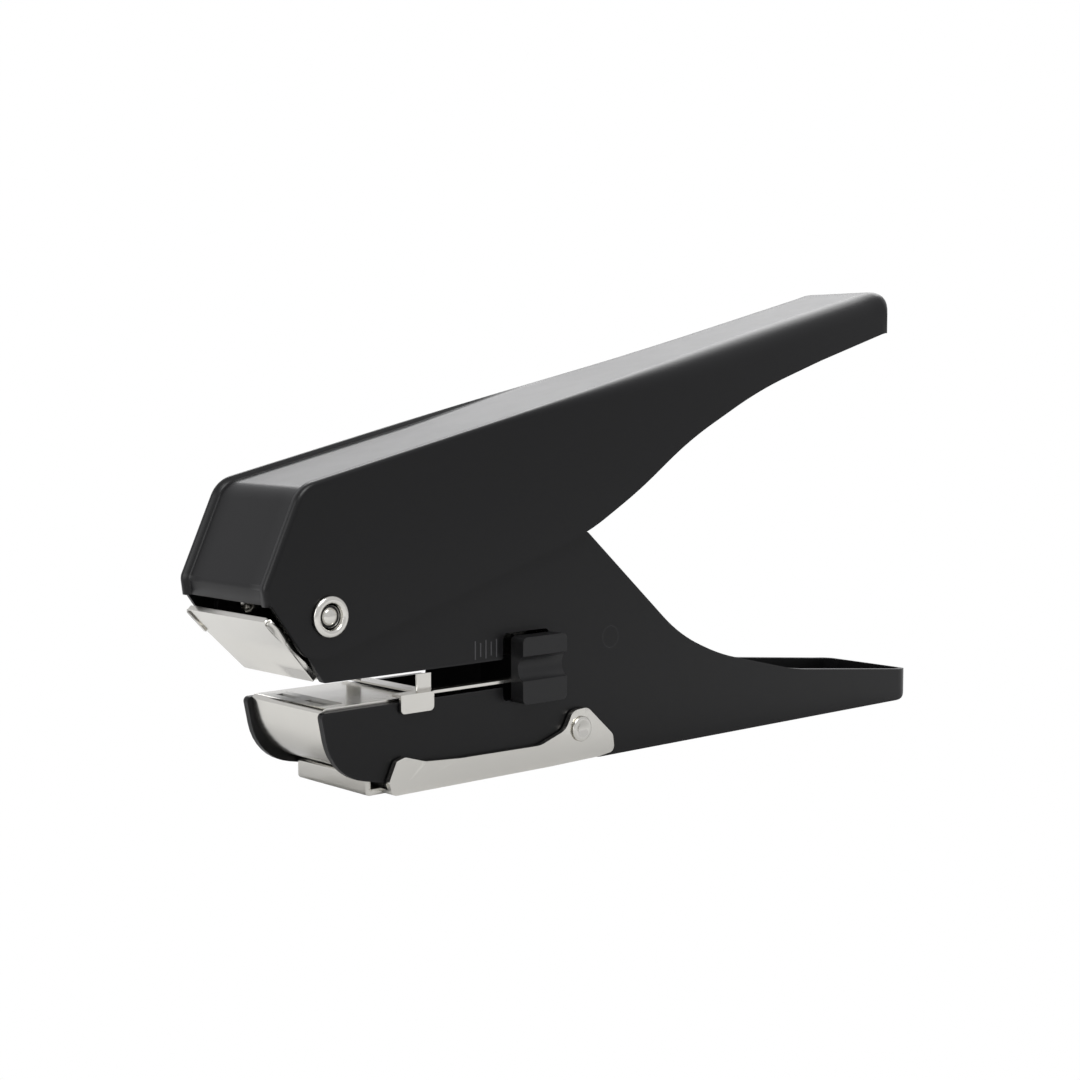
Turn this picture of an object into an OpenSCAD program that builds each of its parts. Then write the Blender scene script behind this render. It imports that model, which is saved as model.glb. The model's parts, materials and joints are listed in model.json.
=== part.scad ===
// Plier stapler: a C-shaped sheet steel frame, a squeeze handle riveted at its nose,
// a pressing magazine with its driver in the upper jaw and an anvil in the lower jaw.
// X runs from the nose to the handle ends, Z up, and the object is symmetric about Y = 0
// except for the depth stop on its -Y side.

/* [Overall] */
// Length from the nose to the ends of the handles
length = 168; // [162:0.5:202]
// Width over the squeeze handle
handle_w = 25.6; // [24.6:0.1:31]
// Thickness of the frame and handle sheet
sheet = 1.2; // [1:0.05:1.44]
// Clearance between the handle's walls and the frame's walls
wall_gap = 0.2; // [0.15:0.01:0.3]
// Height of the lower jaw's plate edge above the resting plane
jaw_z = 15.5; // [14.6:0.1:16]
// Height of the mouth between the frame's plates
mouth_h = 4.9; // [4.4:0.1:5.9]
// Depth of the mouth from the nose
mouth_x = 49.8; // [46:0.1:52]

/* [Handle] */
// Height of the handle's top line at the nose
handle_top_z = 49.7; // [49:0.1:54]
// Rise of the handle's top per unit of length
handle_rise = 0.245; // [0.22:0.005:0.27]
// How far the side panels stand proud of the web between them
rim = 0.8; // [0.5:0.05:1]
// Radius of the handle's rear corners seen from above
handle_end_r = 9; // [5:0.1:10.5]
// Height of the lower handle's rear end
tip_h = 6.4; // [5.4:0.1:8]

/* [Handle pivot] */
// Distance of the handle rivet behind the nose
rivet_x = 12.1; // [11.6:0.1:12.4]
// Height of the handle rivet
rivet_z = 31.3; // [31:0.1:31.8]
// Radius of the handle rivet's shank
rivet_r = 1.8; // [1.5:0.05:1.95]
// Radius of the handle rivet's heads
rivet_head_r = 3.4; // [3:0.1:4.1]
// How far a rivet head stands out
rivet_head_h = 0.9; // [0.6:0.05:1.1]
// Wall of the bush on the rivet
bush_wall = 0.55; // [0.4:0.05:0.6]
// Radial running clearance of a turning part on its pin
run_gap = 0.05; // [0.03:0.01:0.08]

/* [Pressing lever] */
// Distance of the lever pin behind the nose
lever_pin_x = 76; // [75:0.1:78]
// Height of the lever pin
lever_pin_z = 22; // [21.5:0.1:22.5]
// Radius of the lever pin
lever_pin_r = 2; // [1.6:0.05:2.4]
// Width over the lever's flanges
lever_w = 18.8; // [18.4:0.1:19.2]
// Thickness of the lever's sheet
lever_sheet = 1.2; // [1:0.05:1.44]
// Height of the lever's top face
lever_z = 35.6; // [35.4:0.05:35.8]
// Distance of the pressure roller behind the rivet
roller_reach = 22; // [21.5:0.1:22.5]
// Radius of the pressure roller
roller_r = 3; // [2.6:0.1:3.2]
// Width of the pressure roller
roller_w = 9.6; // [8:0.1:10.4]
// Radius of the roller's pin
roller_pin_r = 1.2; // [1:0.05:1.44]

/* [Magazine] */
// Height of the magazine's underside
magazine_z = 20.5; // [20.4:0.05:20.8]
// Width over the magazine channel's walls
channel_w = 15.6; // [15:0.1:15.7]
// Thickness of the channel's and the core's sheet
channel_sheet = 0.8; // [0.65:0.05:0.95]
// Distance of the staple line behind the nose
staple_x = 15.6; // [15.5:0.05:15.9]
// Width over a staple's crown
staple_w = 12.9; // [12:0.1:13.1]
// Height of a staple
staple_h = 6; // [5:0.1:6]
// Thickness of the staple wire
staple_wire = 0.5; // [0.4:0.05:0.55]
// Length of the staple strip
strip_len = 33; // [20:1:34]
// Thickness of the driver blade
blade_t = 0.6; // [0.4:0.05:0.7]

/* [Anvil] */
// Thickness of the anvil shell's sheet
anvil_sheet = 0.8; // [0.6:0.05:0.95]
// Length of the anvil insert along the mouth
insert_len = 5; // [4:0.1:6]
// Depth of the two clinch pockets
pocket_depth = 0.5; // [0.3:0.05:0.6]
// Width of each clinch pocket
pocket_w = 1.2; // [0.8:0.05:1.5]

/* [Bottom door] */
// Distance of the door's rivet behind the nose
door_rivet_x = 67.3; // [66.5:0.1:68]
// Height of the door's rivet
door_rivet_z = 6.2; // [5.8:0.1:6.4]
// Radius of the door rivet's shank
door_rivet_r = 1.6; // [1.3:0.05:1.8]
// Thickness of the door's sheet
door_sheet = 1; // [0.8:0.05:1.2]
// Distance of the door's finger lip behind the nose
lip_x = 21.2; // [20.8:0.1:21.4]

/* [Depth stop] */
// Distance of the knob behind the nose
knob_x = 51.4; // [51.2:0.1:51.6]
// Length of the knob along the mouth
knob_len = 10.4; // [8:0.1:10.6]
// Height of the knob
knob_h = 11.8; // [10:0.1:12.4]
// How far the knob stands out of the frame
knob_out = 3.2; // [2.6:0.1:4]
// Distance of the stop's upright behind the nose
stop_x = 31.8; // [30:0.1:34]

/* [Hidden] */
$fn = 48;

steel_black = [0.12, 0.12, 0.13];
steel_nickel = [0.78, 0.77, 0.74];
steel_spring = [0.6, 0.6, 0.62];
plastic_black = [0.07, 0.07, 0.08];

frame_w = handle_w - 2 * (sheet + wall_gap);
inner_w = frame_w - 2 * sheet;
mouth_top = jaw_z + mouth_h;
web_x = 63;
seat_gap = 0.1;
face_gap = 0.3;
cut = 1;

// ---- helpers -------------------------------------------------------------------------

function unit(v) = v / norm(v);

// Points of a round of radius r at corner b between a and c
function corner(a, b, c, r, n) =
    r <= 0 ? [b] :
    let (u = unit(a - b), v = unit(c - b), half = acos(u * v) / 2,
        mid = b + unit(u + v) * r / sin(half),
        p = b + u * r / tan(half) - mid, q = b + v * r / tan(half) - mid,
        a0 = atan2(p.y, p.x), turn = atan2(q.y, q.x) - a0,
        sweep = turn > 180 ? turn - 360 : turn < -180 ? turn + 360 : turn)
    [for (k = [0 : n]) mid + r * [cos(a0 + sweep * k / n), sin(a0 + sweep * k / n)]];

// A closed outline from [x, z, radius] corners
function rounded(p, n = 8) = [for (i = [0 : len(p) - 1])
    let (m = len(p), a = p[(i + m - 1) % m], b = p[i], c = p[(i + 1) % m])
    each corner([a.x, a.y], [b.x, b.y], [c.x, c.y], b.z, n)];

// Stands an XZ outline up and gives it the width from y0 to y1
module slab(y0, y1) {
    translate([0, y1, 0])
        rotate([90, 0, 0])
            linear_extrude(y1 - y0)
                children();
}

// A sheet of thickness t on both sides, outer faces at +-w / 2
module both_sides(w, t) {
    slab(-w / 2, t - w / 2) children();
    slab(w / 2 - t, w / 2) children();
}

// A round bar along Y
module bar(x, z, r, y0, y1) {
    translate([x, y0, z])
        rotate([-90, 0, 0])
            cylinder(r = r, h = y1 - y0);
}

// A box from its lowest to its highest corner
module block(low, high) {
    translate(low)
        cube(high - low);
}

// Moves the nose-based drawing frame to the middle of the length
module place() {
    translate([-length / 2, 0, 0])
        children();
}

// A round wire along a path that never runs parallel to up
module wire(path, r, up, sides = 8) {
    last = len(path) - 1;
    tangent = [for (i = [0 : last]) unit(path[min(i + 1, last)] - path[max(i - 1, 0)])];
    rings = [for (i = [0 : last])
        let (side = unit(cross(tangent[i], up)), over = cross(side, tangent[i]))
        for (k = [0 : sides - 1])
            path[i] + r * (side * cos(360 * k / sides) + over * sin(360 * k / sides))];
    start = [for (k = [0 : sides - 1]) k];
    end = [for (k = [sides - 1 : -1 : 0]) last * sides + k];
    skin = [for (i = [0 : last - 1], k = [0 : sides - 1])
        let (j = (k + 1) % sides)
        [i * sides + k, (i + 1) * sides + k, (i + 1) * sides + j, i * sides + j]];
    polyhedron(points = rings, faces = concat([start], skin, [end]));
}

// Centre line of a coil round the Z axis
function coil(r, height, turns, steps = 12, a0 = 0) =
    [for (i = [0 : turns * steps])
        let (a = a0 + 360 * i / steps)
        [r * cos(a), r * sin(a), height * i / (turns * steps)]];

// The outline seen from above: straight sides and a rear end with rounded corners
module plan(x_end, w, r) {
    translate([0, 0, -20])
        linear_extrude(140)
            polygon(rounded([[-20, -w / 2, 0], [x_end, -w / 2, r], [x_end, w / 2, r], [-20, w / 2, 0]]));
}

// Places children on both sides, mirrored about Y = 0
module mirrored() {
    children();
    mirror([0, 1, 0])
        children();
}

// A rivet on the +Y side: shank from y0 to y1 and a head of radius head_r from y1 out
module rivet(x, z, r, y0, y1, head_r, head_h) {
    translate([x, y0, z])
        rotate([-90, 0, 0])
            rotate_extrude()
                polygon([[0, 0], [r, 0], [r, y1 - y0], [head_r, y1 - y0],
                    [head_r, y1 - y0 + head_h * 0.6], [head_r - head_h * 0.4, y1 - y0 + head_h],
                    [head_r * 0.64, y1 - y0 + head_h], [head_r * 0.56, y1 - y0 + head_h * 0.4],
                    [0, y1 - y0 + head_h * 0.6]]);
}

// ---- frame ---------------------------------------------------------------------------

tip = length;
door_z = 0.3;
jaw_floor = 1.9;

module frame() {
    color(steel_black)
        difference() {
            intersection() {
                slab(-frame_w / 2, frame_w / 2)
                    polygon(rounded([
                        [6.3, 28.4, 0.8], [5.4, 34, 4], [14, 37.5, 5], [40, 37.5, 12], [60, 43.6, 3],
                        [70.2, 41.6, 1.5], [94.5, 20.6, 38], [105.9, 15.8, 55],
                        [128.7, 10.4, 60], [tip - 5, tip_h + 0.4, 6], [tip, tip_h, 0.8],
                        [tip, 0, 5], [73, 0, 4], [65, jaw_floor, 2], [27, jaw_floor, 6],
                        [13.4, 4.6, 9.5], [11.2, jaw_z, 0.8], [mouth_x, jaw_z, 0.3],
                        [mouth_x, 13, 1], [60.7, 13, 1], [60.7, 25, 1], [mouth_x, 25, 1],
                        [mouth_x, mouth_top, 0.3], [11.9, mouth_top, 0.6]]));
                plan(tip, frame_w, 4);
            }
            intersection() {
                slab(-inner_w / 2, inner_w / 2)
                    polygon(rounded([[-cut, -cut, 0], [web_x + 3, -cut, 0], [web_x + 3, sheet, 0],
                        [tip - sheet, sheet, 5 - sheet], [tip - sheet, 60, 0], [-cut, 60, 0]]));
                plan(tip - sheet, inner_w, 4 - sheet);
            }
            bar(rivet_x, rivet_z, rivet_r + 0.01, -frame_w, frame_w);
            bar(lever_pin_x, lever_pin_z, lever_pin_r + 0.01, -frame_w, frame_w);
            bar(door_rivet_x, door_rivet_z, door_rivet_r + 0.01, -frame_w, frame_w);
        }
}

// ---- handle --------------------------------------------------------------------------

handle_end = length - 5;
function handle_z(x) = handle_top_z + handle_rise * x;

module upper_handle() {
    inside = handle_w - 2 * sheet;
    panel_y = inside / 2 - 0.3;
    color(steel_black)
        difference() {
            intersection() {
                slab(-handle_w / 2, handle_w / 2)
                    polygon(rounded([
                        [0, 36.6, 2.5], [7.2, handle_z(7.2) + rim, 5.5], [95, handle_z(95), 0],
                        [handle_end, handle_z(handle_end), 5.5], [handle_end, 79.2, 2],
                        [154.3, 78.8, 12], [133.7, 72.9, 0], [115.3, 67.1, 120], [95.4, 57.7, 90],
                        [82.1, 48.8, 110], [68.9, 41.6, 52], [14, 25.2, 3], [8.4, 24.2, 4.5],
                        [0.4, 33.6, 1]], 5));
                plan(handle_end, handle_w, handle_end_r);
            }
            intersection() {
                slab(-inside / 2, inside / 2)
                    polygon(rounded([
                        [-cut, 20, 0], [-cut, 32.4, 0], [2.2, 32.4, 0], [2.2, 36.4, 2.5],
                        [9.2, handle_z(9.2) - sheet, 4],
                        [handle_end - sheet, handle_z(handle_end) - sheet, 4.5],
                        [handle_end - sheet, 20, 0]], 4));
                plan(handle_end - sheet, inside, handle_end_r - sheet);
            }
            slab(-panel_y, panel_y)
                polygon(rounded([
                    [-cut, 30, 0], [rim + 0.2, 30, 0], [rim, 36.6, 2.5],
                    [7.2 + rim, handle_z(7.2 + rim), 5.5], [84, handle_z(84), 0],
                    [84, 90, 0], [-cut, 90, 0]], 4));
            bar(rivet_x, rivet_z, rivet_r + bush_wall + run_gap, -handle_w, handle_w);
        }
}

module handle_rivets() {
    color(steel_nickel)
        mirrored() {
            rivet(rivet_x, rivet_z, rivet_r, inner_w / 2 - 0.5, handle_w / 2 + seat_gap,
                rivet_head_r, rivet_head_h);
            bar(rivet_x, rivet_z, rivet_head_r - 0.4, inner_w / 2 - 0.5, inner_w / 2);
        }
}

module pivot_bushes() {
    color(steel_nickel)
        mirrored()
            difference() {
                bar(rivet_x, rivet_z, rivet_r + bush_wall, frame_w / 2, handle_w / 2 + seat_gap);
                bar(rivet_x, rivet_z, rivet_r + 0.01, inner_w / 2, handle_w);
            }
}

// ---- handle spring and pressure roller -----------------------------------------------

spring_x = 56;
seat_z = 38.4;

module spring_seat() {
    color(steel_nickel)
        difference() {
            union() {
                block([spring_x - 6, -inner_w / 2, seat_z - sheet], [spring_x + 6, inner_w / 2, seat_z]);
                translate([spring_x, 0, seat_z - 0.1])
                    cylinder(r = 2.8, h = 3.1);
            }
            translate([spring_x, 0, seat_z - 2 * sheet])
                cylinder(r = 1.6, h = 8);
        }
}

module handle_spring() {
    top = handle_z(spring_x - 5) - sheet / cos(atan(handle_rise)) - 0.7;
    color(steel_spring)
        translate([spring_x, 0, seat_z + 0.62])
            wire(coil(3.9, top - seat_z - 0.62, 6.5), 0.6, [0, 0, 1]);
}

roller_x = rivet_x + roller_reach;
roller_z = lever_z + roller_r + seat_gap;

module roller_bracket() {
    color(steel_nickel)
        difference() {
            both_sides(roller_w + 0.6 + 2 * sheet, sheet)
                difference() {
                    polygon(rounded([
                        [roller_x - 5, handle_z(roller_x - 5) - sheet - 0.06, 0],
                        [roller_x + 5, handle_z(roller_x + 5) - sheet - 0.06, 0],
                        [roller_x + 2.6, roller_z, 2], [roller_x + 1.6, roller_z - 2.4, 1.4],
                        [roller_x - 1.6, roller_z - 2.4, 1.4], [roller_x - 2.6, roller_z, 2]]));
                    translate([roller_x, roller_z])
                        circle(r = roller_pin_r + 0.01);
                }
        }
    color(steel_nickel)
        slab(-roller_w / 2 - 0.3 - sheet, roller_w / 2 + 0.3 + sheet)
            polygon([
                [roller_x - 5, handle_z(roller_x - 5) - sheet - 0.06],
                [roller_x + 5, handle_z(roller_x + 5) - sheet - 0.06],
                [roller_x + 5, handle_z(roller_x + 5) - 2 * sheet - 0.06],
                [roller_x - 5, handle_z(roller_x - 5) - 2 * sheet - 0.06]]);
}

module roller_pin() {
    half = roller_w / 2 + 0.3 + sheet;
    color(steel_nickel)
        union() {
            bar(roller_x, roller_z, roller_pin_r, -half - 0.4, half + 0.4);
            mirrored()
                bar(roller_x, roller_z, roller_pin_r + 0.5, half, half + 0.4);
        }
}

module pressure_roller() {
    color(steel_spring)
        difference() {
            bar(roller_x, roller_z, roller_r, -roller_w / 2, roller_w / 2);
            bar(roller_x, roller_z, roller_pin_r + run_gap, -roller_w, roller_w);
        }
}

// ---- driver lever --------------------------------------------------------------------

blade_x = staple_x - blade_t / 2;
lever_under = lever_z - lever_sheet;
blade_tip = magazine_z + channel_sheet + staple_h + 0.2;

module driver_lever() {
    color(steel_nickel)
        difference() {
            slab(-lever_w / 2, lever_w / 2)
                polygon(rounded([
                    [blade_x - lever_sheet, lever_z, 0.8], [60, lever_z, 6], [81, 26, 4],
                    [81, 17.8, 4], [72.5, 17.8, 4], [58, 27, 10], [blade_x + 3, 29, 2],
                    [blade_x - lever_sheet, 31.5, 1]]));
            slab(lever_sheet - lever_w / 2, lever_w / 2 - lever_sheet)
                polygon([[blade_x, 10], [blade_x, lever_under], [60, lever_under], [60, 50],
                    [90, 50], [90, 10]]);
            mirrored()
                block([0, 6.6, 10], [blade_x + cut, lever_w / 2 - lever_sheet, lever_under]);
            bar(lever_pin_x, lever_pin_z, lever_pin_r + run_gap, -lever_w, lever_w);
            mirrored()
                bar_x(blade_x - 3, blade_x + 3, 3.5, lever_under - 2.2, 0.81);
        }
}

// A round bar along X
module bar_x(x0, x1, y, z, r) {
    translate([x0, y, z])
        rotate([0, 90, 0])
            cylinder(r = r, h = x1 - x0);
}

module driver_blade() {
    color(steel_spring)
        difference() {
            block([blade_x, -6.1, blade_tip], [blade_x + blade_t, 6.1, lever_under]);
            mirrored()
                bar_x(blade_x - 1, blade_x + 2, 3.5, lever_under - 2.2, 0.81);
        }
}

module blade_rivets() {
    color(steel_nickel)
        mirrored() {
            bar_x(blade_x - lever_sheet - 0.5, blade_x + blade_t + 0.5, 3.5, lever_under - 2.2, 0.8);
            bar_x(blade_x - lever_sheet - 0.5, blade_x - lever_sheet, 3.5, lever_under - 2.2, 1.4);
            bar_x(blade_x + blade_t, blade_x + blade_t + 0.5, 3.5, lever_under - 2.2, 1.4);
        }
}

module lever_pin() {
    color(steel_black)
        bar(lever_pin_x, lever_pin_z, lever_pin_r, -frame_w / 2, frame_w / 2);
}

module lever_spring() {
    color(steel_spring)
        translate([lever_pin_x, -4.5, lever_pin_z])
            rotate([-90, 0, 0])
                wire(coil(lever_pin_r + 0.6, 9, 8), 0.4, [0, 0, 1]);
}

// ---- magazine ------------------------------------------------------------------------

floor_top = magazine_z + channel_sheet;
nose_low = [10.9, magazine_z + 0.1];
nose_high = [0.75, 31.2];
nose_t = 0.9;
nose_dir = unit(nose_high - nose_low);
nose_in = [nose_dir.y, -nose_dir.x];
wall_low = nose_low + nose_in * nose_t;
wall_high = wall_low + nose_dir * 8.4;

module magazine_channel() {
    color(steel_nickel)
        difference() {
            slab(-channel_w / 2, channel_w / 2)
                polygon(rounded([
                    [wall_low.x, wall_low.y, 0], [wall_high.x, wall_high.y, 0.5],
                    [staple_x - 2, 27, 3], [60, 31, 6], [79.6, 27, 4], [79.6, 18.6, 3.4],
                    [72.4, 18.6, 3.4], [68, magazine_z, 2], [wall_low.x + 0.6, magazine_z, 0]]));
            slab(channel_sheet - channel_w / 2, channel_w / 2 - channel_sheet)
                polygon([[-cut, 10], [staple_x + 0.7, 10], [staple_x + 0.7, floor_top],
                    [70, floor_top], [70, 10], [90, 10], [90, 50], [-cut, 50]]);
            bar(lever_pin_x, lever_pin_z, lever_pin_r + run_gap, -channel_w, channel_w);
        }
}

module front_plate() {
    tall = norm(nose_high - nose_low);
    color(steel_nickel)
        union() {
            translate([nose_low.x, 0, nose_low.y])
                rotate([0, atan2(nose_dir.x, nose_dir.y), 0])
                    rotate([90, 0, 90])
                        linear_extrude(nose_t)
                            polygon(rounded([[-10.1, 0, 0.6], [10.1, 0, 0.6], [11.9, tall - 3, 2],
                                [11.9, tall, 0.8], [-11.9, tall, 0.8], [-11.9, tall - 3, 2]]));
            mirrored()
                slab(11.2, 11.9)
                    polygon(rounded([[1, 31.6, 0.3], [1, 30.6, 0], [4.2, 27.2, 0], [4.4, 27.6, 0.3],
                        [4.4, 29, 0.3]]));
        }
}

module staple_core() {
    color(steel_nickel)
        difference() {
            block([staple_x + 0.9, -5.6, floor_top], [66.6, 5.6, floor_top + 5.3]);
            block([staple_x, -5.6 + channel_sheet, floor_top - cut],
                [68, 5.6 - channel_sheet, floor_top + 5.3 - channel_sheet]);
            block([42, -1.1, floor_top], [68, 1.1, floor_top + 8]);
        }
}

module staple_strip() {
    x0 = staple_x + blade_t / 2 + 0.35;
    color(steel_nickel)
        difference() {
            block([x0, -staple_w / 2, floor_top + 0.02],
                [x0 + strip_len, staple_w / 2, floor_top + staple_h]);
            block([x0 - cut, staple_wire - staple_w / 2, floor_top - cut],
                [x0 + strip_len + cut, staple_w / 2 - staple_wire, floor_top + staple_h - staple_wire]);
            for (x = [x0 + staple_wire : staple_wire * 2 : x0 + strip_len - staple_wire])
                translate([x, 0, floor_top + staple_h])
                    rotate([0, 45, 0])
                        cube([0.12, staple_w + cut, 0.12], center = true);
        }
}

rod_z = floor_top + 2.3;
follower_x = staple_x + blade_t / 2 + 0.35 + strip_len + 0.3;

module follower_rod() {
    color(steel_nickel)
        union() {
            bar_x(staple_x + 2, 69.4, 0, rod_z, 0.9);
            block([66.6, -4.9, floor_top], [67.4, 4.9, floor_top + 4]);
        }
}

module follower() {
    color(plastic_black)
        difference() {
            union() {
                block([follower_x, -6.4, floor_top + 0.3], [follower_x + 6, 6.4, floor_top + 7]);
            }
            block([follower_x - cut, -5.9, floor_top], [follower_x + 7, 5.9, floor_top + 5.6]);
        }
    color(plastic_black)
        difference() {
            union() {
                block([follower_x + 1, -0.75, rod_z], [follower_x + 5, 0.75, floor_top + 5.7]);
                bar_x(follower_x + 1, follower_x + 5, 0, rod_z, 1.7);
            }
            bar_x(follower_x, follower_x + 6, 0, rod_z, 0.9 + run_gap);
        }
}

module follower_spring() {
    long = follower_x - staple_x - 2.6;
    turns = 11;
    steps = 20;
    color(steel_spring)
        wire([for (i = [0 : turns * steps])
            let (a = 360 * i / steps)
            [staple_x + 3 + long * i / (turns * steps), 1.4 * cos(a), rod_z + 1.4 * sin(a)]],
            0.3, [1, 0, 0], 6);
}

// ---- anvil ---------------------------------------------------------------------------

anvil_top = jaw_z + 0.5;

module anvil_shell() {
    half = inner_w / 2 - seat_gap;
    color(steel_nickel)
        difference() {
            slab(-half, half)
                polygon(rounded([
                    [12, anvil_top, 0.9], [32, anvil_top, 0], [32, anvil_top - anvil_sheet, 0],
                    [13, anvil_top - anvil_sheet, 0.3], [15.3, 6.9, 9], [27, 3.8, 0],
                    [27, 3, 0], [14.4, 6, 9.8]]));
            block([staple_x - insert_len / 2, -8, anvil_top - 2.6],
                [staple_x + insert_len / 2, 8, anvil_top + 1]);
        }
}

module anvil_insert() {
    color(steel_spring)
        difference() {
            union() {
                block([staple_x - insert_len / 2 + 0.02, -7.98, anvil_top - 2.2],
                    [staple_x + insert_len / 2 - 0.02, 7.98, anvil_top]);
                block([staple_x, -inner_w / 2 + 0.1, anvil_top - 3],
                    [staple_x + insert_len / 2 - 0.02, inner_w / 2 - 0.1, anvil_top - 2.1]);
            }
            mirrored()
                bar(staple_x, anvil_top - pocket_depth + pocket_w / 2 + 0.1, pocket_w / 2 + 0.1, 1.4, 6.9);
        }
}

// ---- bottom door ---------------------------------------------------------------------

door_in = frame_w / 2 + face_gap;

module bottom_door() {
    color(steel_nickel)
        difference() {
            union() {
                difference() {
                    slab(-door_in - door_sheet, door_in + door_sheet)
                        polygon(rounded([
                            [23.8, 2.6, 0.8], [25.4, 6, 0.8], [27.2, 6.5, 1.5], [31.5, 5.2, 4],
                            [39, 4.7, 8], [57.5, 4.4, 6], [63.6, 6.4, 3], [65.4, 9.7, 2],
                            [69, 9.9, 2], [75.4, 4.2, 1.5], [75.9, 1, 1.2], [72, 0.5, 3],
                            [60, door_z, 0], [24.6, door_z, 1.2]]));
                    slab(-door_in, door_in)
                        polygon([[20, door_z + door_sheet], [60.5, door_z + door_sheet], [60.5, -cut],
                            [80, -cut], [80, 20], [20, 20]]);
                }
                slab(0.5 - inner_w / 2, inner_w / 2 - 0.5)
                    polygon(rounded([
                        [lip_x, 3.8, 0.4], [lip_x, door_z, 0.8], [26, door_z, 0],
                        [26, door_z + door_sheet, 0], [lip_x + door_sheet, door_z + door_sheet, 0.4],
                        [lip_x + door_sheet, 3.8, 0.4]]));
            }
            bar(door_rivet_x, door_rivet_z, door_rivet_r + run_gap, -handle_w, handle_w);
        }
}

module door_rivets() {
    color(steel_nickel)
        mirrored() {
            rivet(door_rivet_x, door_rivet_z, door_rivet_r, inner_w / 2 - 0.4,
                door_in + door_sheet + seat_gap, door_rivet_r + 0.7, 0.6);
            bar(door_rivet_x, door_rivet_z, door_rivet_r + 0.8, inner_w / 2 - 0.4, inner_w / 2);
        }
}

// ---- depth stop ----------------------------------------------------------------------

slide_z = jaw_z + 0.8;
slide_t = 0.5;
stem_x = knob_x + 3;

module stop_slide() {
    edge = frame_w / 2 + face_gap;
    color(steel_nickel)
        union() {
            block([stop_x, -edge, slide_z], [stem_x + 3.4, 0.5 - inner_w / 2, slide_z + slide_t]);
            block([stop_x, inner_w / 2 - 0.5, slide_z], [49, frame_w / 2, slide_z + slide_t]);
            block([stop_x, -inner_w / 2 + 0.1, slide_z], [stop_x + 3, inner_w / 2 - 0.1, slide_z + 0.35]);
            mirrored()
                block([stop_x, inner_w / 2 - 0.5, slide_z], [stop_x + 3, inner_w / 2 - 0.1, slide_z + 3.3]);
            block([stop_x - 5, -edge - 0.5, slide_z], [stop_x + 2, 0.5 - inner_w / 2, slide_z + slide_t]);
            slab(-edge - 0.5, -edge)
                polygon(rounded([[stop_x - 5, 13.6, 0.8], [stop_x - 5, slide_z + slide_t, 0.4],
                    [stop_x + 2, slide_z + slide_t, 0], [stop_x + 2, 13.6, 0.8]]));
            block([stem_x, -edge, slide_z], [stem_x + 3.4, 0.5 - inner_w / 2, slide_z + 3]);
        }
}

module stop_knob() {
    y1 = -frame_w / 2 - face_gap;
    mid_z = jaw_z + 3;
    color(plastic_black)
        difference() {
            translate([0, y1, 0])
                rotate([90, 0, 0])
                    linear_extrude(knob_out)
                        polygon(rounded([
                            [knob_x, mid_z - knob_h / 2, 1], [knob_x, mid_z + knob_h / 2, 1],
                            [knob_x + knob_len, mid_z + knob_h / 2, 1],
                            [knob_x + knob_len, mid_z - knob_h / 2, 1]]));
            bar_x(knob_x - 1, knob_x + knob_len + 1, y1 - knob_out - 1, mid_z + 0.4, 2.4);
        }
}

place() frame();
place() upper_handle();
place() handle_rivets();
place() pivot_bushes();
place() spring_seat();
place() handle_spring();
place() roller_bracket();
place() roller_pin();
place() pressure_roller();
place() driver_lever();
place() driver_blade();
place() blade_rivets();
place() lever_pin();
place() lever_spring();
place() magazine_channel();
place() front_plate();
place() staple_core();
place() staple_strip();
place() follower_rod();
place() follower();
place() follower_spring();
place() anvil_shell();
place() anvil_insert();
place() bottom_door();
place() door_rivets();
place() stop_slide();
place() stop_knob();
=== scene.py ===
import json
import math
import bpy
import bmesh
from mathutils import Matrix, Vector

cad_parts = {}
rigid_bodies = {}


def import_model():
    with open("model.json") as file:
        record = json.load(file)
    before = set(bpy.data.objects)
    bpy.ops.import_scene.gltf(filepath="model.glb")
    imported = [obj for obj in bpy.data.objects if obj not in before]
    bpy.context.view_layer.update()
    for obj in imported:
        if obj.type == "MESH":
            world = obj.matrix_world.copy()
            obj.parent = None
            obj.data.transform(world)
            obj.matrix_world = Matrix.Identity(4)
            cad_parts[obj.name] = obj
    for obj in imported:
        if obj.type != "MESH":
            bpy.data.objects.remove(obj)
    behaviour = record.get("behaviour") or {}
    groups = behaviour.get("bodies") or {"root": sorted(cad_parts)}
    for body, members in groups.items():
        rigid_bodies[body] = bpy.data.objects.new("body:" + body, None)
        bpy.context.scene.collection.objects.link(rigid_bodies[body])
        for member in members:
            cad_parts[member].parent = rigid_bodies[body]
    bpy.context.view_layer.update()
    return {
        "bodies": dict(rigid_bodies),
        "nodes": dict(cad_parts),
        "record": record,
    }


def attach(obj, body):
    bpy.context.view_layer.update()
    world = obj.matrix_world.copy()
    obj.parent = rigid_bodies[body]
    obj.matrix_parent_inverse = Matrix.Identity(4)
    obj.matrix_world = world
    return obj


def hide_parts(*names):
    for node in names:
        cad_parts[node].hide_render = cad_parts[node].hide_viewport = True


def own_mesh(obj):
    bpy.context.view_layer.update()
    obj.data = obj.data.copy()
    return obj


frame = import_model()
bodies = frame["bodies"]

# Everything below is drawn in millimetres from the nose and turned into metres here.
HALF = 84.0


def at(x, y, z):
    return Vector(((x - HALF) / 1000, y / 1000, z / 1000))


# ---- materials -----------------------------------------------------------------------


def linear(hexa):
    """An sRGB hex colour as linear RGBA."""
    out = []
    for k in (0, 2, 4):
        v = int(hexa[k:k + 2], 16) / 255
        out.append(v / 12.92 if v <= 0.04045 else ((v + 0.055) / 1.055) ** 2.4)
    return (*out, 1.0)


def add(tree, kind, x, y, **sockets):
    """A node at x, y with its inputs set, named by socket with _ for a space."""
    n = tree.nodes.new(kind)
    n.location = (x, y)
    for k, v in sockets.items():
        n.inputs[k.replace("_", " ")].default_value = v
    return n


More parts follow.
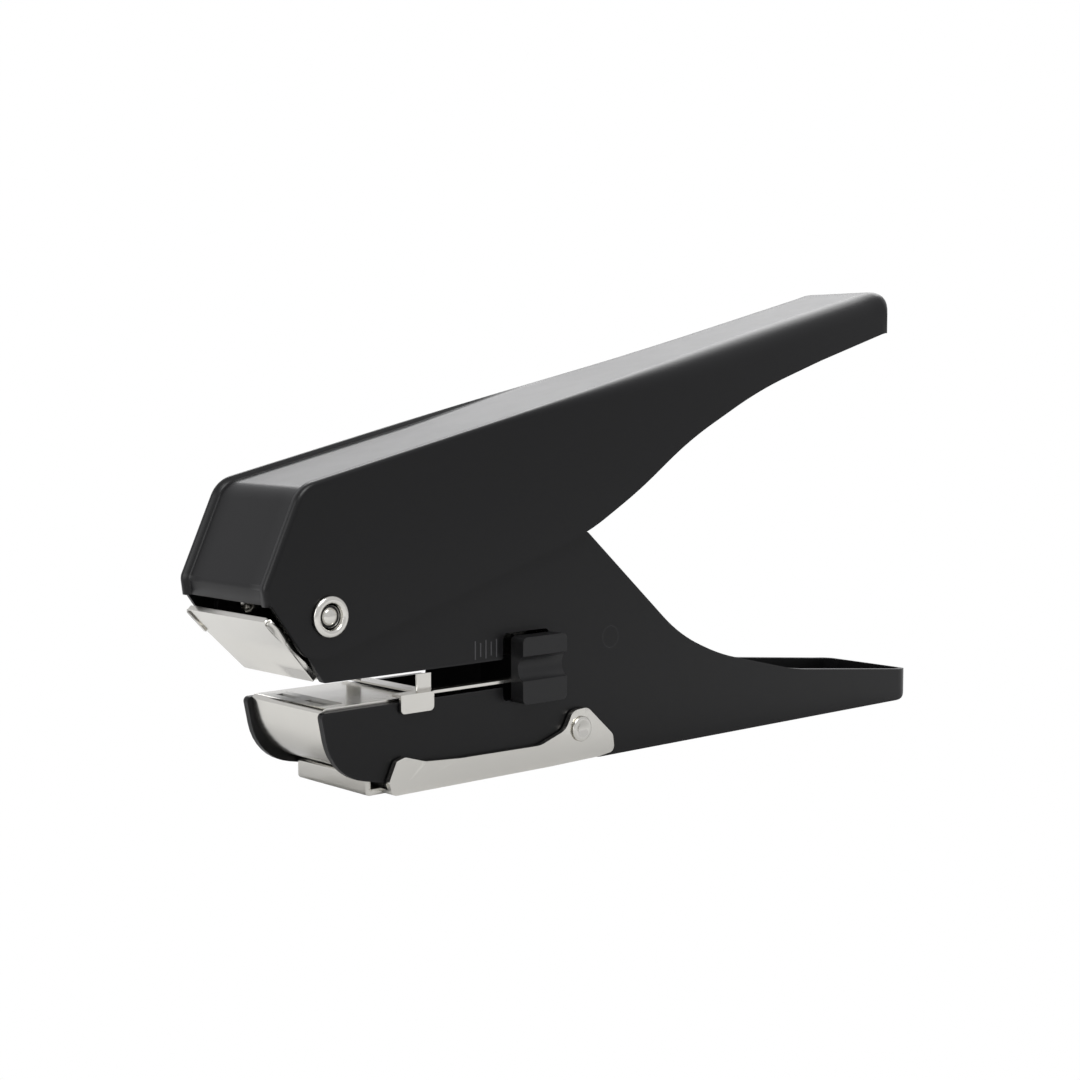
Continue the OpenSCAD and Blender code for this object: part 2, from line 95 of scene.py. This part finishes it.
def finish(name, base, rough, metallic, swing=0.05, grain=900.0, bump=0.0,
           stretch=(1, 1, 1), shade=0.08, wear=0.0, specular=0.5):
    """A procedural finish: base colour with slow unevenness, varied roughness and a fine bump."""
    m = bpy.data.materials.new(name)
    m.use_nodes = True
    t = m.node_tree
    link = t.links.new
    bsdf = t.nodes["Principled BSDF"]
    bsdf.inputs["Metallic"].default_value = metallic
    bsdf.inputs["Specular IOR Level"].default_value = specular
    where = add(t, "ShaderNodeTexCoord", -1400, 0)
    size = add(t, "ShaderNodeMapping", -1200, 0, Scale=stretch)
    link(where.outputs["Object"], size.inputs["Vector"])
    # slow clouds a few millimetres across: handling marks and uneven coating
    clouds = add(t, "ShaderNodeTexNoise", -1000, 200, Scale=160.0, Detail=4.0, Roughness=0.6)
    link(size.outputs["Vector"], clouds.inputs["Vector"])
    # fine grain well under a millimetre: orange peel in the paint, rolling marks in the steel
    fine = add(t, "ShaderNodeTexNoise", -1000, -200, Scale=grain, Detail=3.0, Roughness=0.55)
    link(size.outputs["Vector"], fine.inputs["Vector"])
    tone = add(t, "ShaderNodeMix", -600, 300)
    tone.data_type = "RGBA"
    tone.inputs["A"].default_value = linear(base)
    tone.inputs["B"].default_value = (*[c * (1 - shade) for c in linear(base)[:3]], 1)
    link(clouds.outputs["Fac"], tone.inputs["Factor"])
    colour = tone.outputs["Result"]
    if wear:
        # bright rubbed metal along the sharp edges
        round_edge = add(t, "ShaderNodeBevel", -1000, 600, Radius=0.0005)
        geo = add(t, "ShaderNodeNewGeometry", -1000, 800)
        same = add(t, "ShaderNodeVectorMath", -800, 700)
        same.operation = "DOT_PRODUCT"
        link(round_edge.outputs["Normal"], same.inputs[0])
        link(geo.outputs["Normal"], same.inputs[1])
        edge = add(t, "ShaderNodeMapRange", -620, 700)
        edge.inputs["From Min"].default_value = 0.985
        edge.inputs["From Max"].default_value = 0.86
        edge.inputs["To Max"].default_value = wear
        link(same.outputs["Value"], edge.inputs["Value"])
        rub = add(t, "ShaderNodeMix", -300, 500)
        rub.data_type = "RGBA"
        rub.inputs["B"].default_value = linear("77777a")
        link(edge.outputs["Result"], rub.inputs["Factor"])
        link(colour, rub.inputs["A"])
        colour = rub.outputs["Result"]
    link(colour, bsdf.inputs["Base Color"])
    spread = add(t, "ShaderNodeMapRange", -600, 0)
    spread.inputs["To Min"].default_value = rough - swing
    spread.inputs["To Max"].default_value = rough + swing
    link(clouds.outputs["Fac"], spread.inputs["Value"])
    link(spread.outputs["Result"], bsdf.inputs["Roughness"])
    if bump:
        relief = add(t, "ShaderNodeBump", -300, -300, Strength=bump, Distance=0.00006)
        link(fine.outputs["Fac"], relief.inputs["Height"])
        link(relief.outputs["Normal"], bsdf.inputs["Normal"])
    return m


# black stoved enamel: deep black with a broad soft sheen and a trace of orange peel
enamel = finish("black_enamel_paint", "0b0b0c", 0.33, 0.0, swing=0.03, grain=1400, bump=0.0,
                shade=0.2, wear=0.05, specular=0.24)
# bright nickel plate: a clean mirror, slightly warm, blurred a little by the rolled sheet
nickel = finish("bright_nickel_plate", "d8d6d0", 0.2, 1.0, swing=0.05, grain=500, bump=0.05,
                shade=0.06)
# plain rolled steel strip: duller, with fine marks along its length
steel = finish("rolled_spring_steel", "9c9b97", 0.34, 1.0, swing=0.07, grain=700, bump=0.12,
               stretch=(0.15, 1, 1), shade=0.12)
# staple wire: bright zinc
zinc = finish("zinc_staple_wire", "c4c2bc", 0.26, 1.0, swing=0.05, grain=900, bump=0.06)
# moulded black plastic: even and dull, so the highlight on the knob is broad and grey
plastic = finish("moulded_black_plastic", "101011", 0.42, 0.0, swing=0.04, grain=1800, bump=0.14,
                 shade=0.1, specular=0.35)
# faint grey print for the depth scale
print_grey = finish("grey_scale_print", "353537", 0.5, 0.0, shade=0.1)
MATERIAL = {"black_paint": enamel, "nickel": nickel, "spring_steel": steel,
            "black_plastic": plastic}
slots = {s["node"]: s["material_slot"] for s in frame["record"]["subparts"]}
for name, obj in frame["nodes"].items():
    obj.data.materials.clear()
    obj.data.materials.append(zinc if name == "staple_strip" else MATERIAL[slots[name]])


# ---- shape helpers -------------------------------------------------------------------


def arc_corner(a, b, c, r, n):
    """Points of a round of radius r at b between a and c."""
    if r <= 0:
        return [b]
    u = (a - b).normalized()
    v = (c - b).normalized()
    half = u.angle(v) / 2
    mid = b + (u + v).normalized() * r / math.sin(half)
    p = b + u * r / math.tan(half) - mid
    q = b + v * r / math.tan(half) - mid
    a0 = math.atan2(p.y, p.x)
    turn = (math.atan2(q.y, q.x) - a0 + math.pi) % (2 * math.pi) - math.pi
    return [mid + Vector((math.cos(a0 + turn * k / n), math.sin(a0 + turn * k / n))) * r
            for k in range(n + 1)]


def rounded(points, n=10):
    """A closed outline from (x, z, radius) corners."""
    out = []
    m = len(points)
    for i, b in enumerate(points):
        a, c = points[i - 1], points[(i + 1) % m]
        out += arc_corner(Vector(a[:2]), Vector(b[:2]), Vector(c[:2]), b[2], n)
    return out


def slab(outline, y0, y1):
    """A bmesh of an XZ outline with the width from y0 to y1, in millimetres from the nose."""
    bm = bmesh.new()
    near = [bm.verts.new(at(p.x, y0, p.y)) for p in outline]
    far = [bm.verts.new(at(p.x, y1, p.y)) for p in outline]
    bm.faces.new(near)
    bm.faces.new(far[::-1])
    m = len(outline)
    for i in range(m):
        j = (i + 1) % m
        bm.faces.new((near[i], far[i], far[j], near[j]))
    bmesh.ops.recalc_face_normals(bm, faces=bm.faces)
    return bm


def made(name, bm, material, body, bevel=0.0, segments=3, angle=35, smooth=True):
    """Turns a bmesh into a finished piece on a body, with its edges broken by a bevel in mm."""
    mesh = bpy.data.meshes.new(name)
    bm.to_mesh(mesh)
    bm.free()
    obj = bpy.data.objects.new(name, mesh)
    bpy.context.scene.collection.objects.link(obj)
    mesh.materials.append(material)
    if bevel:
        soft = obj.modifiers.new("edges", "BEVEL")
        soft.width = bevel / 1000
        soft.segments = segments
        soft.limit_method = "ANGLE"
        soft.angle_limit = math.radians(angle)
        soft.use_clamp_overlap = True
        soft.harden_normals = False
    for p in mesh.polygons:
        p.use_smooth = smooth
    if smooth:
        sharp = obj.modifiers.new("normals", "WEIGHTED_NORMAL")
        sharp.keep_sharp = True
    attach(obj, body)
    return obj


def lathe(name, profile, x, z, side, y0, material, body, steps=64):
    """A turned piece on an axis along Y: profile holds (radius, outward distance) in mm."""
    bm = bmesh.new()
    rings = []
    for r, h in profile:
        y = side * (y0 + h)
        if r == 0:
            rings.append([bm.verts.new(at(x, y, z))])
        else:
            rings.append([bm.verts.new(at(x + r * math.cos(2 * math.pi * k / steps), y,
                                          z + r * math.sin(2 * math.pi * k / steps)))
                          for k in range(steps)])
    for a, b in zip(rings, rings[1:]):
        for k in range(steps):
            j = (k + 1) % steps
            if len(a) == 1:
                bm.faces.new((a[0], b[k], b[j]))
            elif len(b) == 1:
                bm.faces.new((a[k], a[j], b[0]))
            else:
                bm.faces.new((a[k], a[j], b[j], b[k]))
    bmesh.ops.recalc_face_normals(bm, faces=bm.faces)
    return made(name, bm, material, body)


def break_edges(name, width, segments=3):
    """Rounds the sheared edges of a CAD piece, which real folded sheet always has."""
    obj = frame["nodes"][name]
    weld = obj.modifiers.new("weld", "WELD")
    weld.merge_threshold = 1e-6
    soft = obj.modifiers.new("edges", "BEVEL")
    soft.width = width / 1000
    soft.segments = segments
    soft.limit_method = "ANGLE"
    soft.angle_limit = math.radians(40)
    for p in obj.data.polygons:
        p.use_smooth = True
    even = obj.modifiers.new("normals", "WEIGHTED_NORMAL")
    even.keep_sharp = True


for name, width in (("frame", 0.3), ("front_plate", 0.15),
                    ("anvil_shell", 0.15), ("bottom_door", 0.25), ("stop_slide", 0.1),
                    ("stop_knob", 0.7), ("driver_lever", 0.2), ("magazine_channel", 0.15),
                    ("roller_bracket", 0.2), ("spring_seat", 0.2), ("follower", 0.3),
                    ("anvil_insert", 0.08)):
    break_edges(name, width)

# ---- squeeze handle ------------------------------------------------------------------
# Folded sheet: proud side panels at the nose, and an edge that rolls over more and more
# towards the rear, where it closes round the end.

WIDTH = 12.8
END = 163.0
END_R = 9.0
spine = rounded([(0.4, 33.6, 0), (0, 36.6, 2.5), (7.2, 52.26, 5.5), (95, 72.97, 0),
                 (END, 89.6, 7.0), (END, 80.2, 0)], 12)
spine = spine[spine.index(Vector((0.4, 33.6))):]
dense = [spine[0]]
for a, b in zip(spine, spine[1:]):
    steps = max(1, int((b - a).length / 2))
    dense += [a.lerp(b, k / steps) for k in range(1, steps + 1)]
across = [0, 0.12, 0.25, 0.4, 0.55, 0.7, 0.85, 1]


def half_width(x):
    over = max(0.0, x - (END - END_R))
    return WIDTH - END_R + math.sqrt(max(0.0, END_R ** 2 - over ** 2))


def ease(x, a, b):
    k = min(1.0, max(0.0, (x - a) / (b - a)))
    return k * k * (3 - 2 * k)


bm = bmesh.new()
rows = []
for i, p in enumerate(dense):
    along = (dense[min(i + 1, len(dense) - 1)] - dense[max(i - 1, 0)]).normalized()
    out = Vector((-along.y, along.x))
    roll = 0.9 + 4.6 * ease(p.x, 40, 120) * (1 - 0.35 * ease(p.x, 150, END))
    dip = 0.8 * (1 - ease(p.x, 40, 84))
    edge = half_width(p.x)
    flat = edge - roll
    offsets = []
    for k in across[::-1]:
        # the rolled edge
        offsets.append((flat + roll * math.sin(k * math.pi / 2),
                        roll - roll * math.cos(k * math.pi / 2)))
    crest = min(flat, edge - 1.5)
    offsets += [(crest - 0.1, 0.0), (crest - 0.5, dip * 0.75), (crest - 0.9, dip),
                (crest * 0.6, dip), (crest * 0.3, dip)]
    row = [bm.verts.new(at(p.x - out.x * d, -y, p.y - out.y * d)) for y, d in offsets]
    row.append(bm.verts.new(at(p.x - out.x * dip, 0, p.y - out.y * dip)))
    row += [bm.verts.new(at(p.x - out.x * d, y, p.y - out.y * d)) for y, d in offsets[::-1]]
    rows.append(row)
for a, b in zip(rows, rows[1:]):
    for j in range(len(a) - 1):
        bm.faces.new((a[j], a[j + 1], b[j + 1], b[j]))
under = rounded([(0.4, 33.6, 0), (8.4, 24.2, 4.5), (14, 25.2, 3), (68.9, 41.6, 52),
                 (82.1, 48.8, 110), (95.4, 57.7, 90), (115.3, 67.1, 120), (133.7, 72.9, 150),
                 (END - END_R, 78.7, 0)], 10)
start = next(i for i, p in enumerate(under) if p == Vector((0.4, 33.6)))
under = under[start + 1:]
turn = next(i for i, p in enumerate(dense) if p.x > END - END_R)
for side, j in ((-1, 0), (1, len(rows[0]) - 1)):
    low = [bm.verts.new(at(p.x, side * WIDTH, p.y)) for p in under]
    top = [row[j] for row in rows[:turn]]
    bm.faces.new(top + low[::-1] if side < 0 else low + top[::-1])
    previous = low[-1]
    for i in range(turn, len(rows)):
        p = dense[i]
        low_z = (79.0 + 0.3 * ease(p.x, 158, END)) / 1000
        v = bm.verts.new((rows[i][j].co.x, rows[i][j].co.y, low_z))
        if (v.co - previous.co).length < 1e-5 or rows[i][j].co.z < v.co.z + 0.0002:
            bm.verts.remove(v)
            break
        bm.faces.new((rows[i - 1][j], previous, v, rows[i][j]))
        previous = v
bmesh.ops.recalc_face_normals(bm, faces=bm.faces)
mesh = bpy.data.meshes.new("handle_shell")
bm.to_mesh(mesh)
bm.free()
shell = bpy.data.objects.new("handle_shell", mesh)
bpy.context.scene.collection.objects.link(shell)
mesh.materials.append(enamel)
thick = shell.modifiers.new("sheet", "SOLIDIFY")
thick.thickness = 0.0012
thick.offset = -1
for p in mesh.polygons:
    p.use_smooth = True
even = shell.modifiers.new("normals", "WEIGHTED_NORMAL")
even.keep_sharp = True
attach(shell, "handle")
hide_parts("upper_handle")

# ---- rivets --------------------------------------------------------------------------
# Tubular rivets: a rolled flange, a dark annular recess and a bright domed middle.
tube = [(0, -2.5), (1.8, -2.5), (1.8, 0.1), (3.3, 0.1), (3.42, 0.3), (3.3, 0.65), (3.0, 0.86),
        (2.6, 0.9), (2.3, 0.8), (2.15, 0.5), (2.05, -0.2), (1.7, -0.3), (1.5, -0.1), (1.3, 0.25),
        (0.9, 0.5), (0.45, 0.6), (0, 0.62)]
# The door's rivets are low and dimpled.
dimple = [(0, -2), (1.6, -2), (1.6, 0.1), (2.2, 0.1), (2.3, 0.28), (2.15, 0.5), (1.8, 0.62),
          (1.4, 0.55), (1.0, 0.3), (0.5, 0.15), (0, 0.1)]
for side, word in ((-1, "near"), (1, "far")):
    piece = lathe("handle_rivet_" + word, tube, 12.1, 31.3, side, 12.8, nickel, "root")
    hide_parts("handle_rivets")
    piece = lathe("door_rivet_" + word, dimple, 67.3, 6.2, side, 12.7, nickel, "root")
    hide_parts("door_rivets")

# ---- handle spring -------------------------------------------------------------------
# Drawn wire with its end coils closed, standing between its seat and the handle.
SEAT = 38.4
TOP = 60.2
TURNS = 7.5
coil = []
for i in range(int(TURNS * 28) + 1):
    turn_no = i / 28
    climb = ease(turn_no, 0.3, 1.5) * 0.5 + ease(turn_no, TURNS - 1.5, TURNS - 0.3) * 0.5
    level = (turn_no / TURNS) * 0.86 + climb * 0.14
    a = 2 * math.pi * turn_no
    coil.append(at(56 + 3.9 * math.cos(a), 3.9 * math.sin(a),
                   SEAT + 0.65 + (TOP - SEAT - 0.65) * level))
bm = bmesh.new()
rings = []
for i, p in enumerate(coil):
    way = (coil[min(i + 1, len(coil) - 1)] - coil[max(i - 1, 0)]).normalized()
    sidew = way.cross(Vector((0, 0, 1))).normalized()
    over = sidew.cross(way)
    rings.append([bm.verts.new(p + (sidew * math.cos(2 * math.pi * k / 14)
                                    + over * math.sin(2 * math.pi * k / 14)) * 0.0006)
                  for k in range(14)])
for a, b in zip(rings, rings[1:]):
    for k in range(14):
        bm.faces.new((a[k], a[k - 1], b[k - 1], b[k]))
bm.faces.new(rings[0])
bm.faces.new(rings[-1][::-1])
bmesh.ops.recalc_face_normals(bm, faces=bm.faces)
spring = made("handle_coil", bm, steel, "root")
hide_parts("handle_spring")
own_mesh(spring)

# depth scale beside the mouth: short pale strokes
for k in range(5):
    bm = bmesh.new()
    bmesh.ops.create_cube(bm, size=1)
    bmesh.ops.scale(bm, vec=(0.00025, 0.00004, 0.0024 if k % 2 else 0.0032), verts=bm.verts)
    bmesh.ops.translate(bm, vec=at(43.5 + 1.2 * k, -11.41, 22.6), verts=bm.verts)
    made("scale_stroke_%d" % k, bm, print_grey, "root", smooth=False)

# a dark plastic sheet on the stop that closes the far window: painted shade, so the view through
# the window stays dark
made("stop_shade_sheet", slab(rounded([(49.6, 12.2, 1), (49.6, 25.6, 1), (62.6, 25.6, 1),
                                   (62.6, 12.2, 1)], 4), 9.75, 10.1), plastic, "stop", 0.1)

# ---- stage, light and camera ---------------------------------------------------------

floor_mesh = bpy.data.meshes.new("floor")
bm = bmesh.new()
bmesh.ops.create_grid(bm, x_segments=1, y_segments=1, size=20.0)
bm.to_mesh(floor_mesh)
bm.free()
floor = bpy.data.objects.new("floor", floor_mesh)
floor.location.z = -0.0004
bpy.context.scene.collection.objects.link(floor)
# a white table: the camera sees it as plain paper white, while it lights the piece from below
white = finish("white_table", "cccccc", 0.6, 0.0, shade=0.0)
glow = add(white.node_tree, "ShaderNodeEmission", 100, -300, Color=(1, 1, 1, 1), Strength=1.0)
seen = add(white.node_tree, "ShaderNodeLightPath", 100, 300)
pick = add(white.node_tree, "ShaderNodeMixShader", 400, 0)
white.node_tree.links.new(seen.outputs["Is Camera Ray"], pick.inputs["Fac"])
white.node_tree.links.new(white.node_tree.nodes["Principled BSDF"].outputs["BSDF"], pick.inputs[1])
white.node_tree.links.new(glow.outputs["Emission"], pick.inputs[2])
white.node_tree.links.new(pick.outputs["Shader"],
                          white.node_tree.nodes["Material Output"].inputs["Surface"])
floor_mesh.materials.append(white)

world = bpy.data.worlds.new("studio")
bpy.context.scene.world = world
world.use_nodes = True
wt = world.node_tree
back = wt.nodes["Background"]
back.inputs["Color"].default_value = (0.9, 0.9, 0.92, 1)
back.inputs["Strength"].default_value = 0.78
clear = add(wt, "ShaderNodeBackground", 0, -200, Color=(1, 1, 1, 1), Strength=1.0)
path = add(wt, "ShaderNodeLightPath", 0, 300)
mixer = add(wt, "ShaderNodeMixShader", 300, 0)
wt.links.new(path.outputs["Is Camera Ray"], mixer.inputs["Fac"])
wt.links.new(back.outputs["Background"], mixer.inputs[1])
wt.links.new(clear.outputs["Background"], mixer.inputs[2])
wt.links.new(mixer.outputs["Shader"], wt.nodes["World Output"].inputs["Surface"])


def lamp(name, where, target, size, power):
    light = bpy.data.lights.new(name, "AREA")
    light.shape = "RECTANGLE"
    light.size, light.size_y = size
    light.energy = power
    o = bpy.data.objects.new(name, light)
    o.location = where
    o.rotation_euler = (Vector(target) - Vector(where)).to_track_quat("-Z", "Y").to_euler()
    bpy.context.scene.collection.objects.link(o)


lamp("key", (-0.25, -0.35, 0.75), (0, 0, 0.04), (0.5, 0.4), 5.0)
lamp("fill", (-0.7, 0.1, 0.25), (-0.03, 0, 0.04), (0.5, 0.4), 2.0)
lamp("rim", (0.5, 0.5, 0.6), (0.02, 0, 0.05), (0.8, 0.5), 4.0)

cam = bpy.data.cameras.new("camera")
cam.lens = 60
cam.sensor_width = 36
camera = bpy.data.objects.new("camera", cam)
camera.location = at(-153.94, -245.58, 67.48)
camera.rotation_euler = Vector((0.6695, 0.7380, -0.0841)).to_track_quat("-Z", "Y").to_euler()
bpy.context.scene.collection.objects.link(camera)
bpy.context.scene.camera = camera
scene = bpy.context.scene
scene.render.resolution_x = 1080
scene.render.resolution_y = 1080
scene.view_settings.view_transform = "Standard"
